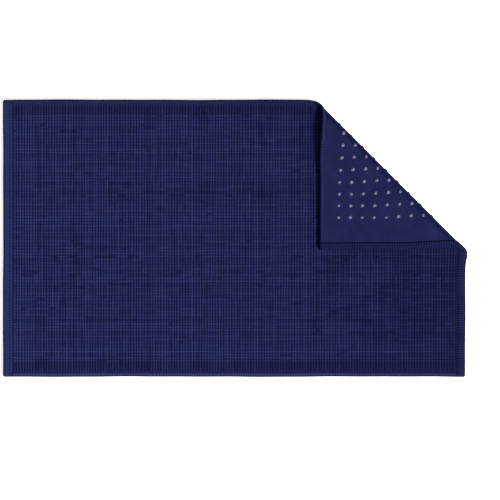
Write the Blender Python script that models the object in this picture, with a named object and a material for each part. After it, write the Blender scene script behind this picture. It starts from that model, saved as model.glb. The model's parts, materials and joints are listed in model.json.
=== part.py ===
"""A bath mat lying on the floor with its back right corner turned over onto its face.

Every layer is built flat and then cut across the turned corner into four parts: the main mat, two narrow bends
and the corner. Three parallel hinges along the underside of the backing cloth fold them over, 60 degrees each.
Axes: X along the long sides, Y from front to back, +Z up. The origin is under the middle of the mat, on the floor.
"""

import math

import bmesh
import bpy
from mathutils import Matrix, Vector

# Driving dimensions, in metres.
MAT_WIDTH = 0.6096  # along X, between the hemmed short sides
MAT_DEPTH = 0.3655  # along Y, between the bound long sides
FOLD_LEG = 0.1975  # from the turned corner, along either side, to the crest of the fold
FOLD_HEADING = math.radians(45)  # direction from the mat to its turned corner, across the fold
BEND_COUNT = 2  # narrow parts between the main mat and the corner
FOLD_GAP = 0.0012  # between the two faces where the corner lies on the mat

# Thickness of each layer, and the clearance between touching pieces.
DOT_HEIGHT = 0.0008
BACKING_THICKNESS = 0.0005
PAD_THICKNESS = 0.0022
FACE_THICKNESS = 0.0010
TAPE_THICKNESS = 0.0007
GAP = 0.0003

# Tapes and stitching. A width runs inward from the mat's edge.
HEM_FACE_WIDTH = 0.0120
HEM_BACK_WIDTH = 0.0095
BINDING_FACE_WIDTH = 0.0060
BINDING_BACK_WIDTH = 0.0050
TAPE_EDGE_RADIUS = 0.0012
TAPE_EDGE_STEPS = 3
CLOTH_INSET = 0.0012  # from the mat's edge to the cloths' edges inside the tape
CHANNEL_WIDTH = 0.0010  # the sunk strip of face cloth beside a tape, where the thread lies
STEP_WIDTH = 0.0006  # over which the face cloth rises from that strip to the field
THREAD_DIAMETER = 0.0004
THREAD_END = 0.0012  # from a thread's end to the sunk strip that it meets
THREAD_SIDES = 6

# The field of grip dots, measured from the mat's edge to the outside of the outermost dots.
DOT_MARGIN_SHORT_SIDE = 0.0402
DOT_MARGIN_LONG_SIDE = 0.0250

# Heights of the layers above the floor.
BACKING_LOW = max(DOT_HEIGHT, TAPE_THICKNESS) + GAP
PAD_LOW = BACKING_LOW + BACKING_THICKNESS + GAP
FACE_LOW = PAD_LOW + PAD_THICKNESS + GAP
FACE_HIGH = FACE_LOW + FACE_THICKNESS
TAPE_LOW = BACKING_LOW - GAP - TAPE_THICKNESS
SUNK_HIGH = FACE_HIGH - TAPE_THICKNESS - GAP
SUNK_LOW = SUNK_HIGH - FACE_THICKNESS
THREAD_HEIGHT = SUNK_HIGH + GAP + THREAD_DIAMETER / 2

# The fold. The hinges lie at BACKING_LOW, and the folded corner is level.
BEND_ANGLE = math.pi / (BEND_COUNT + 1)
FOLD_RADIUS = FACE_HIGH - BACKING_LOW + FOLD_GAP / 2
BEND_LENGTH = 2 * FOLD_RADIUS * math.tan(BEND_ANGLE / 2)
ACROSS = Vector((math.cos(FOLD_HEADING), math.sin(FOLD_HEADING), 0))
CORNER_REACH = Vector((MAT_WIDTH / 2, MAT_DEPTH / 2, 0)).dot(ACROSS)
CREST_REACH = CORNER_REACH - FOLD_LEG * math.sqrt(0.5)
FIRST_HINGE_REACH = CREST_REACH - FOLD_RADIUS + BEND_LENGTH / 2

# The bodies across the fold, from the main mat to the corner, as endings of the parts' names.
BODIES = ["", *(f"_bend_{k + 1}" for k in range(BEND_COUNT)), "_corner"]
CORNER = len(BODIES) - 1


def clear_scene():
    for thing in list(bpy.data.objects):
        bpy.data.objects.remove(thing)


def cloth_material(name, color, roughness):
    material = bpy.data.materials.new(name)
    material.use_nodes = True
    shader = material.node_tree.nodes["Principled BSDF"]
    shader.inputs["Base Color"].default_value = (*color, 1)
    shader.inputs["Roughness"].default_value = roughness
    shader.inputs["Metallic"].default_value = 0
    return material


def hinge_point(body):
    """The flat place of the hinge that a body turns on; body 0 turns on none."""
    reach = FIRST_HINGE_REACH + (body - 1) * BEND_LENGTH
    return ACROSS * reach + Vector((0, 0, BACKING_LOW))


def make_hinges():
    """A chain of empties on the hinge axes. Each has X across the fold and Y along its axis."""
    base = bpy.data.objects.new("fold_base", None)
    base.location = hinge_point(1)
    base.rotation_euler = (0, 0, FOLD_HEADING)
    bpy.context.collection.objects.link(base)
    chain = [base]
    for body in range(1, len(BODIES)):
        hinge = bpy.data.objects.new(f"fold_hinge_{body}", None)
        hinge.location = (0 if body == 1 else BEND_LENGTH, 0, 0)
        hinge.rotation_euler = (0, -BEND_ANGLE, 0)
        hinge.parent = chain[-1]
        bpy.context.collection.objects.link(hinge)
        chain.append(hinge)
    return chain


def cut_at_hinge(bm, body, keep_outer):
    """Cuts a flat layer at a body's hinge, upright below the axis and mitred above it, and keeps one side."""
    side = 1 if keep_outer else -1
    for tilt in (0, BEND_ANGLE / 2):
        normal = ACROSS * math.cos(tilt) * side - Vector((0, 0, math.sin(tilt)))
        bmesh.ops.bisect_plane(
            bm,
            geom=[*bm.verts, *bm.edges, *bm.faces],
            plane_co=hinge_point(body) + normal * GAP / 2,
            plane_no=normal,
            clear_inner=True,
        )
        open_edges = [edge for edge in bm.edges if edge.is_boundary]
        bmesh.ops.holes_fill(bm, edges=open_edges, sides=0)


def add_piece(name, make_flat, material, hinges, bodies=None):
    """Makes one piece of the mat, in one part for each body of the fold that it crosses."""
    for body in range(len(BODIES)) if bodies is None else bodies:
        bm = make_flat()
        if body > 0:
            cut_at_hinge(bm, body, keep_outer=True)
        if body < CORNER and bm.verts:
            cut_at_hinge(bm, body + 1, keep_outer=False)
        if bm.verts:
            bmesh.ops.recalc_face_normals(bm, faces=bm.faces)
            if body > 0:
                to_hinge = Matrix.Rotation(-FOLD_HEADING, 4, "Z") @ Matrix.Translation(-hinge_point(body))
                bm.transform(to_hinge)
            mesh = bpy.data.meshes.new(name + BODIES[body])
            bm.to_mesh(mesh)
            mesh.materials.append(material)
            part = bpy.data.objects.new(name + BODIES[body], mesh)
            part.parent = hinges[body] if body > 0 else None
            bpy.context.collection.objects.link(part)
        bm.free()


def layer(*rings):
    """A slab, from rings of (inset along X, inset along Y, low, high), the outermost first."""
    bm = bmesh.new()
    loops = []
    for inset_x, inset_y, low, high in rings:
        half_x = MAT_WIDTH / 2 - inset_x
        half_y = MAT_DEPTH / 2 - inset_y
        corners = [(-half_x, -half_y), (half_x, -half_y), (half_x, half_y), (-half_x, half_y)]
        loops.append([[bm.verts.new((x, y, z)) for x, y in corners] for z in (low, high)])
    for level in (0, 1):
        for outer, inner in zip(loops, loops[1:]):
            add_band(bm, outer[level], inner[level])
        bm.faces.new(loops[-1][level])
    add_band(bm, loops[0][0], loops[0][1])
    return bm


def add_band(bm, ring, other):
    for k in range(len(ring)):
        n = (k + 1) % len(ring)
        bm.faces.new((ring[k], ring[n], other[n], other[k]))


def side_point(side, inset, along, height):
    """A point by one of the mat's sides, at an inset from that side's edge."""
    if side in ("left", "right"):
        x = MAT_WIDTH / 2 - inset
        return Vector((-x if side == "left" else x, along, height))
    y = MAT_DEPTH / 2 - inset
    return Vector((along, -y if side == "front" else y, height))


def bar(side, profile, half_length):
    """A bar along one side, from its profile of (inset, height) points."""
    bm = bmesh.new()
    ends = [
        [bm.verts.new(side_point(side, inset, along, height)) for inset, height in profile]
        for along in (-half_length, half_length)
    ]
    add_band(bm, ends[0], ends[1])
    for end in ends:
        bm.faces.new(end)
    return bm


def arc(center, radius, start, stop, steps):
    turns = [math.radians(start + (stop - start) * k / steps) for k in range(steps + 1)]
    return [(center[0] + radius * math.cos(a), center[1] + radius * math.sin(a)) for a in turns]


def tape_profile(face_width, back_width):
    """A tape folded round the cloths' edges, with a rounded outer edge above and below."""
    radius = TAPE_EDGE_RADIUS
    back_high = TAPE_LOW + TAPE_THICKNESS
    leaf_low = FACE_HIGH - TAPE_THICKNESS
    return [
        *arc((radius, TAPE_LOW + radius), radius, 180, 270, TAPE_EDGE_STEPS),
        (back_width, TAPE_LOW),
        (back_width, back_high),
        (TAPE_THICKNESS, back_high),
        (TAPE_THICKNESS, leaf_low),
        (face_width, leaf_low),
        (face_width, FACE_HIGH),
        *arc((radius, FACE_HIGH - radius), radius, 90, 180, TAPE_EDGE_STEPS),
    ]


def thread_profile(face_width):
    """The thread, in the middle of the sunk strip beside a tape's inner edge."""
    center = (face_width + CHANNEL_WIDTH * 0.7, THREAD_HEIGHT)
    return arc(center, THREAD_DIAMETER / 2, 0, 360, THREAD_SIDES)[:-1]


def face_layer():
    low_x = HEM_FACE_WIDTH + CHANNEL_WIDTH
    low_y = BINDING_FACE_WIDTH + CHANNEL_WIDTH
    return layer(
        (CLOTH_INSET, CLOTH_INSET, SUNK_LOW, SUNK_HIGH),
        (low_x, low_y, SUNK_LOW, SUNK_HIGH),
        (low_x + STEP_WIDTH, low_y + STEP_WIDTH, FACE_LOW, FACE_HIGH),
    )


def pad_layer():
    clear_of_step = CHANNEL_WIDTH + STEP_WIDTH + FACE_THICKNESS
    inset_x = HEM_FACE_WIDTH + clear_of_step
    inset_y = BINDING_FACE_WIDTH + clear_of_step
    return layer((inset_x, inset_y, PAD_LOW, PAD_LOW + PAD_THICKNESS))


def backing_layer():
    return layer((CLOTH_INSET, CLOTH_INSET, BACKING_LOW, BACKING_LOW + BACKING_THICKNESS))


def dot_layer():
    """The grip dots, as one layer of their height that covers their whole field."""
    high = BACKING_LOW - GAP
    return layer((DOT_MARGIN_SHORT_SIDE, DOT_MARGIN_LONG_SIDE, high - DOT_HEIGHT, high))


def hem(side):
    return bar(side, tape_profile(HEM_FACE_WIDTH, HEM_BACK_WIDTH), MAT_DEPTH / 2)


def binding(side):
    half_length = MAT_WIDTH / 2 - HEM_FACE_WIDTH - GAP
    return bar(side, tape_profile(BINDING_FACE_WIDTH, BINDING_BACK_WIDTH), half_length)


def hem_thread(side):
    half_length = MAT_DEPTH / 2 - BINDING_FACE_WIDTH - THREAD_END
    return bar(side, thread_profile(HEM_FACE_WIDTH), half_length)


def binding_thread(side):
    half_length = MAT_WIDTH / 2 - HEM_FACE_WIDTH - THREAD_END
    return bar(side, thread_profile(BINDING_FACE_WIDTH), half_length)


def build():
    clear_scene()
    hinges = make_hinges()
    face_color = cloth_material("navy_face_cloth", (0.018, 0.021, 0.089), 0.9)
    tape_color = cloth_material("navy_tape", (0.023, 0.026, 0.098), 0.85)
    backing_color = cloth_material("navy_backing", (0.018, 0.019, 0.075), 0.85)
    pad_color = cloth_material("grey_pad", (0.35, 0.35, 0.36), 0.95)
    dot_color = cloth_material("grey_grip", (0.16, 0.15, 0.24), 0.4)
    thread_color = cloth_material("navy_thread", (0.012, 0.013, 0.05), 0.7)

    add_piece("face_cloth", face_layer, face_color, hinges)
    add_piece("inner_pad", pad_layer, pad_color, hinges)
    add_piece("backing_cloth", backing_layer, backing_color, hinges)
    add_piece("grip_dots", dot_layer, dot_color, hinges)
    for side in ("left", "right"):
        add_piece(f"{side}_hem", lambda: hem(side), tape_color, hinges)
        add_piece(f"{side}_hem_stitching", lambda: hem_thread(side), thread_color, hinges, (0, CORNER))
    for side in ("front", "back"):
        add_piece(f"{side}_binding", lambda: binding(side), tape_color, hinges)
        add_piece(f"{side}_binding_stitching", lambda: binding_thread(side), thread_color, hinges, (0, CORNER))


build()
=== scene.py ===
import json
import math

import bmesh
import bpy
import numpy as np
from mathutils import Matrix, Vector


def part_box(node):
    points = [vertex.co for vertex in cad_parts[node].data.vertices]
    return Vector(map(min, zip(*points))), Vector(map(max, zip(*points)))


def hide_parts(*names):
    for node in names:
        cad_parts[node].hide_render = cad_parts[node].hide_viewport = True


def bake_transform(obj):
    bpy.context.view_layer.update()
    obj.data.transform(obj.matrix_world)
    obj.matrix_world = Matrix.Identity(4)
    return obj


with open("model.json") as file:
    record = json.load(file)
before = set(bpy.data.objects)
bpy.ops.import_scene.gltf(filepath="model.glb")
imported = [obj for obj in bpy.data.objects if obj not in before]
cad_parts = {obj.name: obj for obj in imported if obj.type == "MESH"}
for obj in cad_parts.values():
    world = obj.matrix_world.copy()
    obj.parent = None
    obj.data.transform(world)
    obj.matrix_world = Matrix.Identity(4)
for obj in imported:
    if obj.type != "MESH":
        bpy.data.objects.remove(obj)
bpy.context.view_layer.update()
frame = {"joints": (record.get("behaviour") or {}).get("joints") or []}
chance = np.random.default_rng(24)


# ---- Backing cloth ------------------------------------------------------------------------------
# The plain navy cloth on the underside, which shows on the turned-over corner. A close, flat
# polyester weave, cut to the mat's outline, with its edges sewn into the hems and bindings.

half_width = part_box("right_hem")[1].x
half_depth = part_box("back_binding")[1].y
backing_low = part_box("backing_cloth")[0].z
cloth_edge = half_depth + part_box("backing_cloth")[0].y

# The fold, from its hinges: the cloth lies flat up to bend_start, turns over and lies flat again.
hinges = [np.array(joint["pos_m"]) for joint in frame["joints"]]
fold_line = np.array(frame["joints"][0]["axis"])
across_fold = np.cross(fold_line, (0, 0, 1))
hinge_spacing = float(np.linalg.norm(hinges[1] - hinges[0]))
bend_start = float(hinges[0] @ across_fold) - hinge_spacing / 2
bend_length = hinge_spacing * len(hinges)
bend_end = bend_start + bend_length
bend_height = float(hinges[0][2] + hinges[-1][2]) / 2
bend_cuts = [bend_start + hinge_spacing * k for k in range(1, len(hinges))]
BEND_STRIPS = 24  # into which a layer is cut across the bend
NEAR_CUT = 0.012  # faces this near a cut are looked at

# How the turned corner lies. Each pair is a stretch past the bend over which something grows.
TURNED_DROP = 0.0016  # it sinks onto the face, away from the crest
DROP_STRETCH = (0.01, 0.06)
TURNED_LIFT = 0.0034  # and stands off it beside the crest, most by the long side
LIFT_STRETCH = (0, 0.012)
SETTLE_STRETCH = (0.012, 0.07)
LEAST_LIFT = 0.2  # by the short side, as a share
LIFT_SPREAD = 0.11  # along the crest, from its middle to where the lift is full
SLIP_ALONG = 0.0040  # how far it slips along the crest, towards the front
SLIP_BEFORE_BEND = 0.010
SLIP_AFTER_BEND = 0.006
SLIP_ACROSS = 0.0042  # and away from the crest
SLIP_STRETCH = (0, 0.045)
PART_NAMES = ["main", "crest", "turned"]

# The mat's outline: rounded corners, rolled edges and the slight waver of hand-fed sewing.
CORNER_ROUND = 0.0028
EDGE_ROLL = 0.0027
THINNEST_EDGE = 0.2  # of the full thickness
EDGE_WAVER = 0.0004
WAVER_DEPTH = 0.03  # how far in from a side the waver reaches
WAVES = [(0.5, 21, 1.0), (0.3, 47, 2.1), (0.2, 93, 3.7)]  # share, waves in 2 pi metres, shift
CREST_PUSH = 0.0028  # how far the fold pushes the short side out beside the crest
PUSH_SPREAD = 0.016
PUSH_PAST_BEND = 0.005
crest_side_y = (bend_start + PUSH_PAST_BEND - half_width * across_fold[0]) / across_fold[1]
mid_height = bend_height / 2 - 0.0003  # a little below the middle, as the face is thicker


def ease(value, start, end):
    """A smooth rise from 0 at start to 1 at end."""
    t = np.clip((value - start) / (end - start), 0, 1)
    return t * t * (3 - 2 * t)


def waver(along, seed):
    """A slow, irregular wave between about -1 and 1."""
    return sum(share * np.sin(along * waves + shift * seed) for share, waves, shift in WAVES)


def shaped(flat):
    """Flat points (x, y, height) with the mat's round corners, rolled edges and waver."""
    x, y, height = flat.T
    inset = np.stack([half_width - abs(x), half_depth - abs(y)])
    near = np.clip(1 - inset / CORNER_ROUND, 0, 1)
    rounded = near * np.sqrt(1 - near[::-1] ** 2 / 2)
    roll = np.clip(inset.min(0) / EDGE_ROLL, 0, 1)
    thick = THINNEST_EDGE + (1 - THINNEST_EDGE) * np.sqrt(1 - (1 - roll) ** 2)
    shift = (near - rounded) * CORNER_ROUND
    out = flat.copy()
    side_x, side_y = 1 - ease(inset, 0, WAVER_DEPTH)
    push = CREST_PUSH * np.exp(-(((y - crest_side_y) / PUSH_SPREAD) ** 2)) * (x > 0)
    out[:, 0] -= np.sign(x) * shift[0] - side_x * (EDGE_WAVER * waver(y, np.sign(x) + 2) + push)
    out[:, 1] -= np.sign(y) * shift[1] - side_y * EDGE_WAVER * waver(x, np.sign(y) + 5)
    out[:, 2] = mid_height + (height - mid_height) * thick
    return out


crest_top = np.array([(bend_start - half_depth * across_fold[1]) / across_fold[0], half_depth])
crest_side = np.array([half_width, crest_side_y])
crest_middle = float((crest_top + crest_side) @ fold_line[:2]) / 2


def folded(flat):
    """Where flat points lie once the corner is turned over."""
    reach = flat[:, :2] @ across_fold[:2]
    along = flat[:, :2] @ fold_line[:2]
    turn = np.clip((reach - bend_start) / bend_length, 0, 1) * math.pi
    radius = bend_height - flat[:, 2]
    past = np.maximum(reach - bend_end, 0)
    folded_reach = np.minimum(reach, bend_start) + radius * np.sin(turn) - past
    out = flat.copy()
    out[:, :2] += (folded_reach - reach)[:, None] * across_fold[:2]
    by_long_side = ease(along, crest_middle, crest_middle + LIFT_SPREAD)
    lift_share = LEAST_LIFT + (1 - LEAST_LIFT) * by_long_side
    lift = TURNED_LIFT * ease(past, *LIFT_STRETCH) * (1 - ease(past, *SETTLE_STRETCH)) * lift_share
    drop = TURNED_DROP * ease(past, *DROP_STRETCH)
    slipping = ease(reach, bend_start - SLIP_BEFORE_BEND, bend_end + SLIP_AFTER_BEND)
    slip_along = SLIP_ALONG * slipping
    slip_across = SLIP_ACROSS * ease(past, *SLIP_STRETCH)
    out[:, :2] -= slip_along[:, None] * fold_line[:2] + slip_across[:, None] * across_fold[:2]
    out[:, 2] = bend_height - radius * np.cos(turn) + lift - drop
    return out


def mesh_of(name, points, faces):
    """A mesh from its points and its faces, which all have as many corners as a row of the array."""
    mesh = bpy.data.meshes.new(name)
    mesh.vertices.add(len(points))
    mesh.vertices.foreach_set("co", points.astype(np.float32).ravel())
    corners = faces.shape[1]
    mesh.loops.add(faces.size)
    mesh.loops.foreach_set("vertex_index", faces.ravel().astype(np.int32))
    mesh.polygons.add(len(faces))
    mesh.polygons.foreach_set("loop_start", np.arange(0, faces.size, corners, dtype=np.int32))
    mesh.update(calc_edges=True)
    return mesh


def grid_faces(columns, rows, closed=False):
    """The four-cornered faces of a grid of points, numbered row by row within each column."""
    i, j = np.meshgrid(np.arange(columns - 1), np.arange(rows if closed else rows - 1), indexing="ij")
    i, j = i.ravel(), j.ravel()
    k = (j + 1) % rows
    return np.stack([i * rows + j, (i + 1) * rows + j, (i + 1) * rows + k, i * rows + k], 1)


def lay_pattern(mesh, places, tone):
    """Keeps each point's place on the flat cloth as a UV map, and its lightness as an attribute."""
    at = np.zeros(len(mesh.loops), np.int32)
    mesh.loops.foreach_get("vertex_index", at)
    layer = mesh.uv_layers.new(name="cloth")
    layer.uv.foreach_set("vector", places[at].astype(np.float32).ravel())
    light = mesh.attributes.new("tone", "FLOAT", "POINT")
    light.data.foreach_set("value", tone.astype(np.float32))


def make_parts(name, flat_mesh, inner_radius, material, replaced, strips=BEND_STRIPS):
    """Folds a flat layer and makes it in three parts: the flat mat, the crest and the turned corner.
    """
    whole = bmesh.new()
    whole.from_mesh(flat_mesh)
    whole.normal_update()
    bpy.data.meshes.remove(flat_mesh)
    places = [bend_start + bend_length * k / strips for k in range(strips + 1)]
    for place in sorted({round(p, 9) for p in places + bend_cuts}):
        near = [
            face
            for face in whole.faces
            if abs(face.calc_center_median().xy.dot(across_fold[:2]) - place) < NEAR_CUT
        ]
        edges = {edge for face in near for edge in face.edges}
        corners = {corner for face in near for corner in face.verts}
        if near:
            bmesh.ops.bisect_plane(
                whole,
                geom=[*near, *edges, *corners],
                plane_co=(*(across_fold[:2] * place), 0),
                plane_no=(*across_fold[:2], 0),
                dist=1e-7,
            )
    limits = [-math.inf, *bend_cuts, math.inf]
    made = []
    for part, nodes in enumerate(replaced):
        piece = whole.copy()
        out = [
            face
            for face in piece.faces
            if not limits[part]
            <= face.calc_center_median().xy.dot(across_fold[:2])
            < limits[part + 1]
        ]
        bmesh.ops.delete(piece, geom=out, context="FACES")
        if not piece.verts:
            piece.free()
            continue
        mesh = bpy.data.meshes.new(f"{name}_{PART_NAMES[part]}")
        sum(face.calc_area() * abs(face.normal.z) for face in piece.faces)
        piece.to_mesh(mesh)
        piece.free()
        points = np.zeros(len(mesh.vertices) * 3)
        mesh.vertices.foreach_get("co", points)
        points = folded(shaped(points.reshape(-1, 3)))
        mesh.vertices.foreach_set("co", points.astype(np.float32).ravel())
        mesh.shade_smooth()
        mesh.materials.append(material)
        shown = bpy.data.objects.new(mesh.name, mesh)
        bpy.context.scene.collection.objects.link(shown)
        angles = [math.pi * (part + end) / len(hinges) for end in (0, 1)]
        ends = [
            (
                *(across_fold[:2] * (bend_start + inner_radius * math.sin(angle))),
                bend_height - inner_radius * math.cos(angle),
            )
            for angle in angles
        ]
        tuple(ends[0])
        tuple(ends[1])
        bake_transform(shown)
        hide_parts(*nodes)
        made.append(shown)
    whole.free()
    return made


CLOTH_SPECULAR = 0.05
SHEEN_ROUGHNESS = 0.35
SHEEN_TINT = (0.25, 0.3, 0.8, 1)


def new_finish(name, roughness, sheen):
    """A cloth-like finish, with its shader, its nodes and its links."""
    material = bpy.data.materials.new(name)
    material.use_nodes = True
    nodes = material.node_tree.nodes
    shader = nodes["Principled BSDF"]
    shader.inputs["Roughness"].default_value = roughness
    shader.inputs["Specular IOR Level"].default_value = CLOTH_SPECULAR
    shader.inputs["Sheen Weight"].default_value = sheen
    shader.inputs["Sheen Roughness"].default_value = SHEEN_ROUGHNESS
    shader.inputs["Sheen Tint"].default_value = SHEEN_TINT
    return material, nodes, material.node_tree.links, shader


def cloth_places(nodes):
    """Places on the flat cloth in metres."""
    uv = nodes.new("ShaderNodeUVMap")
    uv.uv_map = "cloth"
    return uv.outputs["UV"]


def cloudy(nodes, links, places, scale, detail):
    """Soft cloudy variation between 0 and 1."""
    noise = nodes.new("ShaderNodeTexNoise")
    noise.inputs["Scale"].default_value = scale
    noise.inputs["Detail"].default_value = detail
    links.new(places, noise.inputs["Vector"])
    return noise.outputs["Fac"]


def reckon(nodes, links, operation, first, second):
    """One sum with a number or a socket on either side."""
    node = nodes.new("ShaderNodeMath")
    node.operation = operation
    for socket, value in zip(node.inputs, (first, second)):
        if isinstance(value, (int, float)):
            socket.default_value = value
        else:
            links.new(value, socket)
    return node.outputs[0]


def between(nodes, links, factor, dark, light):
    """A colour between a dark and a light one."""
    mix = nodes.new("ShaderNodeMix")
    mix.data_type = "RGBA"
    links.new(factor, mix.inputs["Factor"])
    mix.inputs["A"].default_value = (*dark, 1)
    mix.inputs["B"].default_value = (*light, 1)
    return mix.outputs["Result"]


THREAD_DISTORTION = 0.6
WAVE_BANDS = math.pi / 10  # the wave texture's scale for one band to a metre


def raise_threads(nodes, links, shader, height, depth, strength=1.0):
    """Lets a pattern of threads catch the light."""
    bump = nodes.new("ShaderNodeBump")
    bump.inputs["Distance"].default_value = depth
    bump.inputs["Strength"].default_value = strength
    links.new(height, bump.inputs["Height"])
    links.new(bump.outputs["Normal"], shader.inputs["Normal"])


def thread_waves(nodes, links, places, direction, pitch):
    """Threads side by side, as waves of a given pitch."""
    wave = nodes.new("ShaderNodeTexWave")
    wave.bands_direction = direction
    wave.inputs["Scale"].default_value = WAVE_BANDS / pitch
    wave.inputs["Distortion"].default_value = THREAD_DISTORTION
    wave.inputs["Detail"].default_value = 1
    links.new(places, wave.inputs["Vector"])
    return wave.outputs["Fac"]


def lightness(nodes):
    """The lightness kept on the mesh by lay_pattern."""
    attribute = nodes.new("ShaderNodeAttribute")
    attribute.attribute_name = "tone"
    return attribute.outputs["Fac"]


BACKING_THREAD = 0.0009  # pitch of the backing's threads
BACKING_DARK = (0.0042, 0.0055, 0.030)
BACKING_LIGHT = (0.0110, 0.0130, 0.060)
finish, nodes, links, shader = new_finish("navy_backing_weave", 0.85, 0.03)
flat_place = cloth_places(nodes)
mottle = cloudy(nodes, links, flat_place, 45, 4)
grain = cloudy(nodes, links, flat_place, 900, 2)
weave = reckon(
    nodes,
    links,
    "MULTIPLY",
    thread_waves(nodes, links, flat_place, "X", BACKING_THREAD),
    thread_waves(nodes, links, flat_place, "Y", BACKING_THREAD),
)
shade = reckon(nodes, links, "ADD", mottle, reckon(nodes, links, "MULTIPLY", grain, 0.35))
shade = reckon(nodes, links, "SUBTRACT", shade, 0.17)
# The lightness attribute carries the painted shade along the crest.
shade = reckon(nodes, links, "MULTIPLY", reckon(nodes, links, "ADD", shade, 0.8), lightness(nodes))
shade = reckon(nodes, links, "SUBTRACT", shade, 0.8)
colour = between(nodes, links, shade, BACKING_DARK, BACKING_LIGHT)
links.new(colour, shader.inputs["Base Color"])
raise_threads(nodes, links, shader, reckon(nodes, links, "ADD", weave, grain), 0.00012, 0.7)

BACKING_STEP = 0.0025
CREST_SHADE = 0.85  # painted shade: how much darker the backing is over the crest, where it turns away from the light
CREST_SHADE_START = 0.8  # of the bend
CREST_SHADE_END = 0.005  # past it
columns = int(2 * half_width / BACKING_STEP) + 1
rows = int(2 * half_depth / BACKING_STEP) + 1
cloth_x = np.linspace(cloth_edge - half_width, half_width - cloth_edge, columns)
cloth_y = np.linspace(cloth_edge - half_depth, half_depth - cloth_edge, rows)
x, y = (part.ravel() for part in np.meshgrid(cloth_x, cloth_y, indexing="ij"))
points = np.stack([x, y, np.full_like(x, backing_low)], 1)
faces = grid_faces(columns, rows)[:, ::-1]
mesh = mesh_of("backing_cloth", points, faces)
reach = x * across_fold[0] + y * across_fold[1]
# Painted shade along the crest, where the backing turns away from the light.
crest_shaded = 1 - ease(reach, bend_start + CREST_SHADE_START * bend_length, bend_end + CREST_SHADE_END)
lay_pattern(mesh, points[:, :2], 1 - CREST_SHADE * crest_shaded)
backing_parts = make_parts(
    "backing_cloth",
    mesh,
    bend_height - backing_low,
    finish,
    [
        ["backing_cloth", "backing_cloth_bend_1"],
        ["backing_cloth_bend_2"],
        ["backing_cloth_corner"],
    ],
)
cloth_size = (2 * (half_width - cloth_edge), 2 * (half_depth - cloth_edge))


# ---- Grip dots ----------------------------------------------------------------------------------
# Small domes of grey-lavender rubber, printed on the backing in a square grid and cured there, with
# a bare margin all round. Some are printed thinner than others and look darker.

DOT_COLUMNS = 35
DOT_ROWS = 21
DOT_WIDTH = 0.0053
DOT_WAVE = 0.0032  # how far the rows wander, as the cloth wasn't held quite straight in the printing
DOT_WAVE_HALF = 0.24  # along the mat, from the crest of that wave to its trough
DOT_WIDTHS = (0.9, 1.04)  # the least and greatest width, as shares of DOT_WIDTH
DOT_HEIGHTS = (0.8, 1.0)
DOT_SCATTER = 0.00012  # of a dot's middle
DOT_ROOT = 0.00005  # how far a dot's foot reaches into the cloth
DOT_SIDES = 14
DOT_STRIPS = 3  # across the bend, where few dots are
DOT_RINGS = [(1.0, 0.0), (0.95, 0.25), (0.8, 0.6), (0.55, 0.86), (0.28, 0.97), (0.0, 1.0)]
FOOT_LIGHT = 0.15  # of the top's lightness, at a dot's foot
DOT_LIGHTS = [1.0, 0.85, 0.7, 0.5]
DOT_LIGHT_SHARES = [0.4, 0.3, 0.2, 0.1]
RUBBER_SPECULAR = 0.2
RUBBER_DARK = (0.006, 0.007, 0.034)
RUBBER_LIGHT = (0.115, 0.115, 0.18)
dots_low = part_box("grip_dots")[0]


def dot_places():
    """The middles of the dots on the flat backing, seen from above the mat."""
    reach_x = -dots_low.x - DOT_WIDTH / 2
    reach_y = -dots_low.y - DOT_WIDTH / 2
    for i in range(DOT_COLUMNS):
        for j in range(DOT_ROWS):
            x = reach_x * (2 * i / (DOT_COLUMNS - 1) - 1)
            y = reach_y * (2 * j / (DOT_ROWS - 1) - 1)
            y += DOT_WAVE * math.cos(math.pi * (half_width - x) / DOT_WAVE_HALF)
            yield x + chance.normal(0, DOT_SCATTER), y + chance.normal(0, DOT_SCATTER)


def dome(x, y, width, high, shade):
    """One dot, as rings of points from its foot on the backing to its top, below."""
    turns = np.arange(DOT_SIDES) * 2 * math.pi / DOT_SIDES
    rings, lights = [], []
    for share, rise in DOT_RINGS:
        out = share * width / 2
        low = backing_low + DOT_ROOT - (high + DOT_ROOT) * rise
        around = [x + out * np.cos(turns), y + out * np.sin(turns), np.full(DOT_SIDES, low)]
        rings.append(np.stack(around, 1))
        lights.append(shade * (FOOT_LIGHT + (1 - FOOT_LIGHT) * rise**2))
    return np.concatenate(rings), np.repeat(lights, DOT_SIDES)


dot_points, dot_tones, dot_faces = [], [], []
ring_faces = grid_faces(len(DOT_RINGS), DOT_SIDES, closed=True)
for x, y in dot_places():
    made, tones = dome(
        x,
        y,
        DOT_WIDTH * chance.uniform(*DOT_WIDTHS),
        (backing_low - dots_low.z) * chance.uniform(*DOT_HEIGHTS),
        chance.choice(DOT_LIGHTS, p=DOT_LIGHT_SHARES),
    )
    dot_faces.append(ring_faces + len(dot_points) * len(made))
    dot_points.append(made)
    dot_tones.append(tones)

finish, nodes, links, shader = new_finish("grey_grip_rubber", 0.6, 0)
shader.inputs["Specular IOR Level"].default_value = RUBBER_SPECULAR
patch = cloudy(nodes, links, cloth_places(nodes), 420, 2)
glow = reckon(nodes, links, "MULTIPLY", lightness(nodes), reckon(nodes, links, "ADD", patch, 0.5))
links.new(between(nodes, links, glow, RUBBER_DARK, RUBBER_LIGHT), shader.inputs["Base Color"])
raise_threads(nodes, links, shader, patch, 0.0001, 0.4)

points = np.concatenate(dot_points)
mesh = mesh_of("grip_dots", points, np.concatenate(dot_faces))
lay_pattern(mesh, points[:, :2], np.concatenate(dot_tones))
make_parts(
    "grip_dots",
    mesh,
    bend_height - backing_low,
    finish,
    [["grip_dots", "grip_dots_bend_1"], ["grip_dots_bend_2"], ["grip_dots_corner"]],
    strips=DOT_STRIPS,
)


# ---- Inner pad ----------------------------------------------------------------------------------
# A thin needled felt between backing and face, which gives the mat its body. It stops short of the
# hems and bindings and is held by the seams round it.

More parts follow.
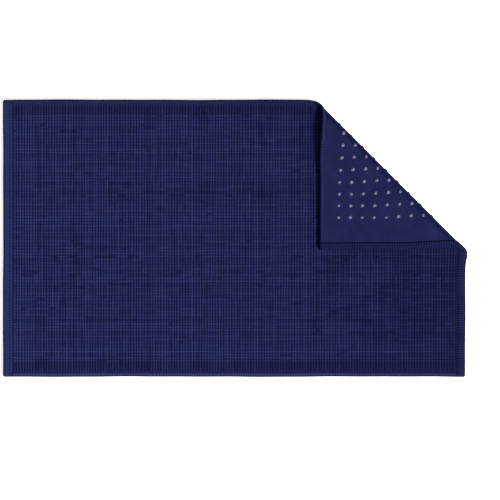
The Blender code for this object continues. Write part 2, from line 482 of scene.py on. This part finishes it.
PAD_STEP = 0.003
FELT_DARK = (0.22, 0.22, 0.23)
FELT_LIGHT = (0.48, 0.48, 0.49)
pad_low, pad_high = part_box("inner_pad")
pad_columns = int(2 * -pad_low.x / PAD_STEP) + 1
pad_rows = int(2 * -pad_low.y / PAD_STEP) + 1
x, y = (
    part.ravel()
    for part in np.meshgrid(
        np.linspace(pad_low.x, -pad_low.x, pad_columns),
        np.linspace(pad_low.y, -pad_low.y, pad_rows),
        indexing="ij",
    )
)
under = np.stack([x, y, np.full_like(x, pad_low.z)], 1)
over = np.stack([x, y, np.full_like(x, pad_high.z)], 1)
under_faces = grid_faces(pad_columns, pad_rows)
number = np.arange(pad_columns * pad_rows).reshape(pad_columns, pad_rows)
rim = np.concatenate([number[:, 0], number[-1, 1:], number[-2::-1, -1], number[0, -2:0:-1]])
rim_next = np.roll(rim, -1)
rim_faces = np.stack([rim, rim_next, rim_next + number.size, rim + number.size], 1)
points = np.concatenate([under, over])
faces = np.concatenate([under_faces[:, ::-1], under_faces + number.size, rim_faces])
mesh = mesh_of("inner_pad", points, faces)
lay_pattern(mesh, points[:, :2], np.ones(len(points)))

finish, nodes, links, shader = new_finish("grey_felt", 0.95, 0.1)
fuzz = cloudy(nodes, links, cloth_places(nodes), 700, 4)
links.new(between(nodes, links, fuzz, FELT_DARK, FELT_LIGHT), shader.inputs["Base Color"])
raise_threads(nodes, links, shader, fuzz, 0.0003)
pad_parts = make_parts(
    "inner_pad",
    mesh,
    bend_height - pad_high.z,
    finish,
    [["inner_pad", "inner_pad_bend_1"], ["inner_pad_bend_2"], ["inner_pad_corner"]],
)


# ---- Face cloth ---------------------------------------------------------------------------------
# The walking face: a navy cotton waffle weave of raised threads along and across the mat, uneven as
# spun yarn is. Beside the long sides only the cross ribs are raised, and the seams pull it down.

WAFFLE_ACROSS = 0.0036  # pitch of the cells along the mat
WAFFLE_ALONG = 0.00405  # and from front to back
CELL_STEPS = 4
WAFFLE_DEPTH = 0.00075
RIB_BAND = (0.0125, 0.0165)  # beside a binding, within which the long ribs fade out
SEAM_SLOPE = (0.0002, 0.0030)  # over which the cloth rises from a seam
SEAM_DROP = 0.0004  # how far a seam pulls the face down
UNDER_TAPE_DROP = 0.0007  # and how much further it lies down under the tape
UNDER_TAPE_SLOPE = (-0.0010, 0.0002)
HEM_LEAF = 0.0120  # how far a hem's tape reaches in over the face
BINDING_LEAF = 0.0060
RIB_SHARPNESS = 1.2
LONG_RIB_RISE = 0.66  # of a cross rib's
CROSSING_RISE = 0.18  # more, where two ribs cross
RELIEF_LIMIT = 1.35
FULL_RELIEF = 1.12
YARN_RISE = 0.16  # how uneven a yarn's rise is along it
RIB_RISE = 0.10  # and from rib to rib
CROSS_KNOT = 0.011  # how far apart a cross yarn's uneven places are
LONG_KNOT = 0.013
YARN_SWAY = 0.00016
SWAY_KNOT = 0.03
BEND_EASE = 0.004  # over which the weave is flattened beside the bend
BEND_FLATTENING = 0.6
BEND_SINK = 0.0002
LEFT_LIGHT = 1.3  # painted light: the cloth's lightness at its left end
LIGHT_FALL = 0.85  # and how much less it is at its right end
FACE_DARK = (0.0026, 0.0036, 0.024)
FACE_LIGHT = (0.0185, 0.0225, 0.090)
FACE_STRIPS = 6  # across the bend, where the weave's own faces are small
face_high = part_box("face_cloth")[1].z


def painted_light_falloff(x):
    """Painted light: the navy's lightness, which falls from the mat's left end to its right end as
    the light falls off.
    """
    return LEFT_LIGHT - LIGHT_FALL * (x + half_width) / (2 * half_width)


def yarn(count, length, steps, knot):
    """An uneven value along each of a number of yarns, with a new knot value every so often."""
    knots = int(length / knot) + 3
    values = chance.normal(0, 1, (count, knots))
    place = np.linspace(0, knots - 2, steps)
    at = place.astype(int)
    share = place - at
    share = share * share * (3 - 2 * share)
    return values[:, at] * (1 - share) + values[:, at + 1] * share


cells_x = round(cloth_size[0] / WAFFLE_ACROSS)
cells_y = round(cloth_size[1] / WAFFLE_ALONG)
columns, rows = cells_x * CELL_STEPS + 1, cells_y * CELL_STEPS + 1
grid_x, grid_y = np.meshgrid(
    np.linspace(-cloth_size[0] / 2, cloth_size[0] / 2, columns),
    np.linspace(-cloth_size[1] / 2, cloth_size[1] / 2, rows),
    indexing="ij",
)
phase_x = np.arange(columns) / CELL_STEPS
phase_y = np.arange(rows) / CELL_STEPS
rib_of_x = np.rint(phase_x).astype(int)
rib_of_y = np.rint(phase_y).astype(int)
ridge_x = (0.5 + 0.5 * np.cos(2 * math.pi * phase_x)) ** RIB_SHARPNESS
ridge_y = (0.5 + 0.5 * np.cos(2 * math.pi * phase_y)) ** RIB_SHARPNESS
cross_ribs = 1 + YARN_RISE * yarn(cells_x + 1, cloth_size[1], rows, CROSS_KNOT)[rib_of_x]
cross_ribs += RIB_RISE * chance.normal(0, 1, cells_x + 1)[rib_of_x][:, None]
long_ribs = YARN_RISE * yarn(cells_y + 1, cloth_size[0], columns, LONG_KNOT)[rib_of_y].T
long_ribs += LONG_RIB_RISE
long_ribs += RIB_RISE * chance.normal(0, 1, cells_y + 1)[rib_of_y][None, :]
from_binding = half_depth - abs(grid_y) - BINDING_LEAF
from_hem = half_width - abs(grid_x) - HEM_LEAF
long_ribs *= ease(from_binding, *RIB_BAND)
relief = np.maximum(ridge_x[:, None] * cross_ribs, ridge_y[None, :] * long_ribs)
relief += CROSSING_RISE * (ridge_x[:, None] * cross_ribs) * (ridge_y[None, :] * long_ribs)
relief = np.clip(relief, 0, RELIEF_LIMIT)
from_seam = np.minimum(from_binding, from_hem)
free = ease(from_seam, *SEAM_SLOPE)
reach = grid_x * across_fold[0] + grid_y * across_fold[1]
in_bend = ease(reach, bend_start - BEND_EASE, bend_start)
in_bend = in_bend * (1 - ease(reach, bend_end, bend_end + BEND_EASE))
relief *= free * (1 - BEND_FLATTENING * in_bend)
height = face_high - WAFFLE_DEPTH * (1 - relief / FULL_RELIEF) * free
height -= SEAM_DROP * (1 - free) + UNDER_TAPE_DROP * (1 - ease(from_seam, *UNDER_TAPE_SLOPE))
height -= BEND_SINK * in_bend
sway_x = YARN_SWAY * yarn(cells_x + 1, cloth_size[1], rows, SWAY_KNOT)[rib_of_x] * free
sway_y = YARN_SWAY * yarn(cells_y + 1, cloth_size[0], columns, SWAY_KNOT)[rib_of_y].T * free
points = np.stack([(grid_x + sway_x).ravel(), (grid_y + sway_y).ravel(), height.ravel()], 1)

# The yarns' lightness: the first of each pair is along a yarn, the second from yarn to yarn.
CROSS_GLINT = (0.13, 0.15)
LONG_GLINT = (0.30, 0.25)
CROSS_GLINT_KNOT = 0.014
LONG_GLINT_KNOT = 0.016
LEAST_RISE = 0.3  # of a long rib that still shows as a light line
GLINT_WIDTH = 0.7
CROSS_TONE = 0.62
CROSSING_TONE = 0.48
LONG_TONE = 0.16
TONE_LIMIT = 1.7
FULL_TONE = 1.3
SEAM_TONE = 0.45
glint_x = 1 + CROSS_GLINT[0] * yarn(cells_x + 1, cloth_size[1], rows, CROSS_GLINT_KNOT)[rib_of_x]
glint_x += CROSS_GLINT[1] * chance.normal(0, 1, cells_x + 1)[rib_of_x][:, None]
glint_y = 1 + LONG_GLINT[0] * yarn(cells_y + 1, cloth_size[0], columns, LONG_GLINT_KNOT)[rib_of_y].T
glint_y += LONG_GLINT[1] * chance.normal(0, 1, cells_y + 1)[rib_of_y][None, :]
glint_y *= long_ribs > LEAST_RISE
# Painted highlight and shade: the raised ribs are painted lighter and the pits between them darker,
# besides the yarns' own uneven tone.
crossing = CROSSING_TONE * ridge_y[None, :] ** GLINT_WIDTH * glint_y
tone = ridge_x[:, None] ** GLINT_WIDTH * glint_x * (CROSS_TONE + crossing)
tone += LONG_TONE * ridge_y[None, :] * glint_y
tone = SEAM_TONE + (np.clip(tone, 0, TONE_LIMIT) / FULL_TONE - SEAM_TONE) * free
# Painted light falloff, darker towards the mat's right end.
tone *= painted_light_falloff(grid_x)
faces = grid_faces(columns, rows)
mesh = mesh_of("face_cloth", points, faces)
lay_pattern(mesh, points[:, :2], tone.ravel())

finish, nodes, links, shader = new_finish("navy_waffle_cotton", 0.95, 0.05)
flat_place = cloth_places(nodes)
mottle = cloudy(nodes, links, flat_place, 26, 3)
lint = cloudy(nodes, links, flat_place, 1400, 3)
twist = thread_waves(nodes, links, flat_place, "DIAGONAL", 0.0006)
# The lightness attribute carries the painted highlight on the ribs, the painted shade in the pits and
# the painted light falloff.
shade = reckon(nodes, links, "ADD", lightness(nodes), reckon(nodes, links, "MULTIPLY", mottle, 0.26))
shade = reckon(nodes, links, "ADD", shade, reckon(nodes, links, "MULTIPLY", lint, 0.2))
shade = reckon(nodes, links, "SUBTRACT", shade, 0.25)
links.new(between(nodes, links, shade, FACE_DARK, FACE_LIGHT), shader.inputs["Base Color"])
raise_threads(nodes, links, shader, reckon(nodes, links, "ADD", twist, lint), 0.00015, 0.6)
face_parts = make_parts(
    "face_cloth",
    mesh,
    bend_height - face_high,
    finish,
    [["face_cloth", "face_cloth_bend_1"], ["face_cloth_bend_2"], ["face_cloth_corner"]],
    strips=FACE_STRIPS,
)


# ---- Hems and bindings --------------------------------------------------------------------------
# Navy ribbed tape folded round each side and sewn through: wide hems on the short sides, narrow
# bindings on the long ones, whose ends tuck under the hems. The tape puffs up between its seam and
# its fold, and puckers at each stitch.

TAPE_THICKNESS = 0.0007
HEM_BACK_LEAF = 0.0095
BINDING_BACK_LEAF = 0.0050
TAPE_STEP = 0.0013
TAPE_PUFF = 0.0002
TAPE_SWAY = 0.00025  # how far a tape's inner edge wanders
TAPE_RIPPLE = 0.00008  # and how far its face leaf rises and falls
STITCH_PITCH = 0.0036
PUCKER = 0.00022
STITCH_PULL = 0.0001  # how far the inner edge moves between stitches
LEAF_STEPS = 14
LEAF_CROWDING = 1.3  # the section's points lie closer towards the fold
SEAM_PART = 0.7  # from here to a leaf's inner edge, the stitches pull on it
FACE_SINK = 0.0006  # how far each leaf's inner edge is pulled in by its seam
FACE_SINK_PART = 0.88
BACK_SINK = 0.0004
BACK_SINK_PART = 0.85
EDGE_LIGHT = 0.1  # painted shade: of the tape's lightness, at the mat's outer edge
EDGE_LIGHT_SLOPE = (0.0006, 0.0032)
SEAM_SHADE = 0.4  # painted shade: how much darker a face leaf is towards its seam, where it sinks into the groove
SEAM_SHADE_PART = (0.5, 0.8)
RIB_SHADE = 0.2
RIM_SHADE = 0.05  # painted shade: the tape's lightness round the outside, on its side wall
INNER_LIGHT = 0.5
HEM_LIGHTS = (0.75, 0.42)  # of the face leaf and the back leaf
# Painted light and shade: the front binding's face leaf is painted lighter, as it faces the lamp, and
# the back binding's darker, as it faces away from it.
FRONT_BINDING_LIGHTS = (2.0, 0.8)
BACK_BINDING_LIGHTS = (0.62, 0.8)
RIB_PITCH = 0.0031
TAPE_DARK = (0.0026, 0.0036, 0.022)
TAPE_LIGHT = (0.0185, 0.0225, 0.090)
TUCK_GAP = 0.0001  # between a binding's end and the hem's inner edge
tape_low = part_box("left_hem")[0].z
tape_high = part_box("left_hem")[1].z


def painted_edge_shade(inset):
    """Painted shade: the tape's lightness, which is low along the mat's rolled outer edge."""
    return EDGE_LIGHT + (1 - EDGE_LIGHT) * float(ease(inset, *EDGE_LIGHT_SLOPE))


def tape_section(face_leaf, back_leaf, face_light, back_light):
    """The tape's section, as (inset, height, lightness), from the back leaf's inner edge round the
    outside to the face leaf's inner edge, and back along the inside."""
    outside, inside = [], []
    for k in range(LEAF_STEPS + 1):
        share = 1 - k / LEAF_STEPS
        inset = back_leaf * share**LEAF_CROWDING
        sunk = BACK_SINK * ease(share, BACK_SINK_PART, 1.0)
        outside.append((inset, tape_low + sunk, back_light * painted_edge_shade(inset)))
        inner_inset = max(inset, TAPE_THICKNESS)
        inside.append((inner_inset, tape_low + TAPE_THICKNESS, INNER_LIGHT))
    for k in range(1, 4):
        outside.append((0, tape_low + (tape_high - tape_low) * k / 4, RIM_SHADE))
    for k in range(LEAF_STEPS + 1):
        share = k / LEAF_STEPS
        inset = face_leaf * share**LEAF_CROWDING
        sunk = FACE_SINK * ease(share, FACE_SINK_PART, 1.0)
        puff = TAPE_PUFF * math.sin(math.pi * share**0.8)
        light = face_light * painted_edge_shade(inset) * (1 - SEAM_SHADE * ease(share, *SEAM_SHADE_PART))
        light *= 1 - RIB_SHADE + RIB_SHADE * math.cos(2 * math.pi * inset / WAFFLE_ACROSS)
        outside.append((inset, tape_high + puff - sunk, light))
        inner_height = tape_high - TAPE_THICKNESS + (puff - sunk) * 0.6
        inside.append((max(inset, TAPE_THICKNESS), inner_height, INNER_LIGHT))
    return np.array(outside + inside[::-1])


def side_points(side, inset, along, height):
    """Points beside one of the mat's sides, from their insets and their places along it."""
    if side in ("left", "right"):
        x = (half_width - inset) * (-1 if side == "left" else 1)
        return np.stack([x, along + 0 * inset, height], -1)
    y = (half_depth - inset) * (-1 if side == "front" else 1)
    return np.stack([along + 0 * inset, y, height], -1)


def tape_mesh(name, side, section, half_length):
    """A tape along one side, drawn from its section, with both ends closed."""
    stations = np.linspace(-half_length, half_length, int(2 * half_length / TAPE_STEP) + 1)
    inset, height, light = section.T
    leaf = inset / inset.max()
    pull = np.cos(2 * math.pi * stations / STITCH_PITCH)[:, None]
    sway = (TAPE_SWAY * waver(stations * 3, 1.7 + len(side)))[:, None]
    upper = (height > mid_height) * 1.0
    at_seam = ease(leaf, SEAM_PART, 1.0)
    insets = inset + leaf * sway + STITCH_PULL * pull * at_seam
    heights = height - PUCKER * (0.5 + 0.5 * pull) * at_seam * (2 * upper - 1)
    heights += TAPE_RIPPLE * waver(stations * 5, 0.4)[:, None] * upper * leaf
    along = np.broadcast_to(stations[:, None], insets.shape)
    points = side_points(side, insets, along, heights).reshape(-1, 3)
    sections = len(section)
    faces = grid_faces(len(stations), sections, closed=True)
    mesh = mesh_of(name, points, faces[:, ::-1] if side in ("left", "back") else faces)
    around = np.concatenate([[0], np.cumsum(np.hypot(np.diff(inset), np.diff(height)))])
    places = np.stack([np.broadcast_to(around, insets.shape).ravel(), along.ravel()], 1)
    tone = np.broadcast_to(light, insets.shape) * (1 + 0.12 * waver(stations * 2, 3.1))[:, None]
    # Painted light falloff, darker towards the mat's right end.
    lay_pattern(mesh, places, tone.ravel() * painted_light_falloff(points[:, 0]))
    closed = bmesh.new()
    closed.from_mesh(mesh)
    open_ends = [edge for edge in closed.edges if edge.is_boundary]
    bmesh.ops.holes_fill(closed, edges=open_ends, sides=0)
    bmesh.ops.recalc_face_normals(closed, faces=closed.faces)
    closed.to_mesh(mesh)
    closed.free()
    return mesh


finish, nodes, links, shader = new_finish("navy_ribbed_tape", 0.9, 0.05)
tape_place = cloth_places(nodes)
ribs = thread_waves(nodes, links, tape_place, "Y", RIB_PITCH)
lint = cloudy(nodes, links, tape_place, 1200, 3)
mottle = cloudy(nodes, links, tape_place, 40, 3)
# The lightness attribute carries the painted shade at the edge, rim and seam, the painted light and
# shade on the bindings and the painted light falloff.
shade = reckon(nodes, links, "ADD", lightness(nodes), reckon(nodes, links, "MULTIPLY", mottle, 0.3))
shade = reckon(nodes, links, "ADD", shade, reckon(nodes, links, "MULTIPLY", ribs, 0.3))
shade = reckon(nodes, links, "SUBTRACT", shade, 0.3)
links.new(between(nodes, links, shade, TAPE_DARK, TAPE_LIGHT), shader.inputs["Base Color"])
raise_threads(nodes, links, shader, reckon(nodes, links, "ADD", ribs, lint), 0.00018, 0.7)
hem_section = tape_section(HEM_LEAF, HEM_BACK_LEAF, *HEM_LIGHTS)
front_section = tape_section(BINDING_LEAF, BINDING_BACK_LEAF, *FRONT_BINDING_LIGHTS)
back_section = tape_section(BINDING_LEAF, BINDING_BACK_LEAF, *BACK_BINDING_LIGHTS)
binding_half_length = half_width - HEM_LEAF - TUCK_GAP
tape_radius = bend_height - tape_high - TAPE_PUFF
tapes = [
    ("left", "hem", hem_section, half_depth),
    ("right", "hem", hem_section, half_depth),
    ("front", "binding", front_section, binding_half_length),
    ("back", "binding", back_section, binding_half_length),
]
for side, kind, section, half_length in tapes:
    cad = f"{side}_{kind}"
    replaced = [[cad]]
    if side in ("right", "back"):
        replaced = [[cad, f"{cad}_bend_1"], [f"{cad}_bend_2"], [f"{cad}_corner"]]
    mesh = tape_mesh(cad, side, section, half_length)
    make_parts(f"{kind}_{side}", mesh, tape_radius, finish, replaced)


# ---- Stitching ----------------------------------------------------------------------------------
# One lockstitched row of navy polyester thread beside each tape's inner edge, through all layers:
# short stitches in the groove on the face, and the same again on the underside.

THREAD_DIAMETER = 0.00042
STITCH_LENGTH = 0.0027
STITCH_SIDES = 6
ROW_STRIPS = 3  # across the bend, which a row stops short of
STITCH_RINGS = [(-0.5, 0.25), (-0.42, 0.8), (-0.2, 1.0), (0.2, 1.0), (0.42, 0.8), (0.5, 0.25)]
STITCH_SCATTER = 0.00008
STITCH_LEAN = 0.00007
STITCH_SINK = 0.00022  # how far a stitch's ends go into the cloth
ROW_INSET = 0.0007  # from the tape's edge to the row
ROW_END = 0.0012  # from the row's end to the crossing tape
THREAD_DARK = (0.004, 0.0045, 0.02)
THREAD_LIGHT = (0.012, 0.013, 0.045)


def stitch_row(name, side, face_inset, back_inset, half_length):
    """A row of stitches on the face and the row of the same thread on the underside."""
    count = int(2 * half_length / STITCH_PITCH)
    turns = np.arange(STITCH_SIDES) * 2 * math.pi / STITCH_SIDES
    ring = grid_faces(len(STITCH_RINGS), STITCH_SIDES, closed=True)
    rows = [
        (face_inset, face_high - SEAM_DROP + THREAD_DIAMETER * 0.25, 1),
        (back_inset, backing_low - THREAD_DIAMETER * 0.45, -1),
    ]
    points, faces = [], []
    for inset, height, up in rows:
        for k in range(count):
            middle = (k + 0.5 - count / 2) * STITCH_PITCH + chance.normal(0, STITCH_SCATTER)
            lean = chance.normal(0, STITCH_LEAN)
            stitch = []
            for share, width in STITCH_RINGS:
                sink = STITCH_SINK * (2 * share) ** 2 * up
                stitch.append(
                    side_points(
                        side,
                        inset + lean * share + width * THREAD_DIAMETER / 2 * np.cos(turns),
                        middle + share * STITCH_LENGTH + 0 * turns,
                        height - sink + width * THREAD_DIAMETER / 2 * np.sin(turns),
                    )
                )
            faces.append(ring + len(points) * len(STITCH_RINGS) * STITCH_SIDES)
            points.append(np.concatenate(stitch))
    points = np.concatenate(points)
    mesh = mesh_of(name, points, np.concatenate(faces))
    lay_pattern(mesh, points[:, :2], np.ones(len(points)))
    return mesh


finish, nodes, links, shader = new_finish("navy_thread", 0.55, 0.1)
ply = thread_waves(nodes, links, cloth_places(nodes), "DIAGONAL", 0.0003)
links.new(between(nodes, links, ply, THREAD_DARK, THREAD_LIGHT), shader.inputs["Base Color"])
raise_threads(nodes, links, shader, ply, 0.00006)
thread_radius = bend_height - tape_high
hem_row = (HEM_LEAF + ROW_INSET, HEM_BACK_LEAF + ROW_INSET, half_depth - BINDING_LEAF - ROW_END)
binding_row = (
    BINDING_LEAF + ROW_INSET,
    BINDING_BACK_LEAF + ROW_INSET,
    half_width - HEM_LEAF - ROW_END,
)
rows_to_sew = [
    ("left", "hem", hem_row),
    ("right", "hem", hem_row),
    ("front", "binding", binding_row),
    ("back", "binding", binding_row),
]
for side, kind, row in rows_to_sew:
    cad = f"{side}_{kind}_stitching"
    replaced = [[cad]] if side in ("left", "front") else [[cad], [], [f"{cad}_corner"]]
    mesh = stitch_row(cad, side, *row)
    make_parts(f"stitching_{side}", mesh, thread_radius, finish, replaced, ROW_STRIPS)


# ---- Floor, light and camera --------------------------------------------------------------------
# A plain white floor, an even white surround and one large soft lamp from the front right, with
# the camera straight above the mat.

FLOOR_REACH = 4
FLOOR_WHITE = (0.85, 0.85, 0.86, 1)
FLOOR_GLOW = 0.6
SURROUND_GLOW = 0.4
floor_corners = np.array([(-1, -1, 0), (1, -1, 0), (1, 1, 0), (-1, 1, 0)], float) * FLOOR_REACH
floor_mesh = mesh_of("floor", floor_corners, np.array([[0, 1, 2, 3]]))
floor = bpy.data.objects.new("floor", floor_mesh)
bpy.context.scene.collection.objects.link(floor)
floor_finish = bpy.data.materials.new("white_floor")
floor_finish.use_nodes = True
floor_shader = floor_finish.node_tree.nodes["Principled BSDF"]
floor_shader.inputs["Base Color"].default_value = FLOOR_WHITE
floor_shader.inputs["Roughness"].default_value = 0.9
floor_shader.inputs["Specular IOR Level"].default_value = 0
floor_shader.inputs["Emission Color"].default_value = (1, 1, 1, 1)
floor_shader.inputs["Emission Strength"].default_value = FLOOR_GLOW
floor_mesh.materials.append(floor_finish)

surround = bpy.data.worlds.new("surround")
surround.use_nodes = True
surround.node_tree.nodes["Background"].inputs["Color"].default_value = (1, 1, 1, 1)
surround.node_tree.nodes["Background"].inputs["Strength"].default_value = SURROUND_GLOW
bpy.context.scene.world = surround

LAMP_SIZE = 1.8
LAMP_POWER = 950
LAMP_DISTANCE = 6
LAMP_TURN = math.radians(-38)
LAMP_RISE = math.radians(34)
LAMP_ASIDE = math.radians(35)  # it is aimed past the mat, so that the near side isn't brighter
lamp_data = bpy.data.lights.new("soft_lamp", "AREA")
lamp_data.shape = "DISK"
lamp_data.size = LAMP_SIZE
lamp_data.energy = LAMP_POWER
lamp = bpy.data.objects.new("soft_lamp", lamp_data)
bpy.context.scene.collection.objects.link(lamp)
lamp.location = (
    LAMP_DISTANCE * math.cos(LAMP_TURN) * math.cos(LAMP_RISE),
    LAMP_DISTANCE * math.sin(LAMP_TURN) * math.cos(LAMP_RISE),
    LAMP_DISTANCE * math.sin(LAMP_RISE),
)
lamp.rotation_euler = (0, math.pi / 2 - LAMP_RISE, LAMP_TURN - LAMP_ASIDE)

VIEW_WIDTH = 0.6589
LENS = 200
SENSOR = 36
CAMERA_OFFSET = (0.0208, -0.0155)
camera_data = bpy.data.cameras.new("camera")
camera_data.lens = LENS
camera_data.sensor_width = SENSOR
camera = bpy.data.objects.new("camera", camera_data)
bpy.context.scene.collection.objects.link(camera)
camera.location = (*CAMERA_OFFSET, face_high + VIEW_WIDTH * LENS / SENSOR)
bpy.context.scene.camera = camera
bpy.context.scene.view_settings.view_transform = "Standard"
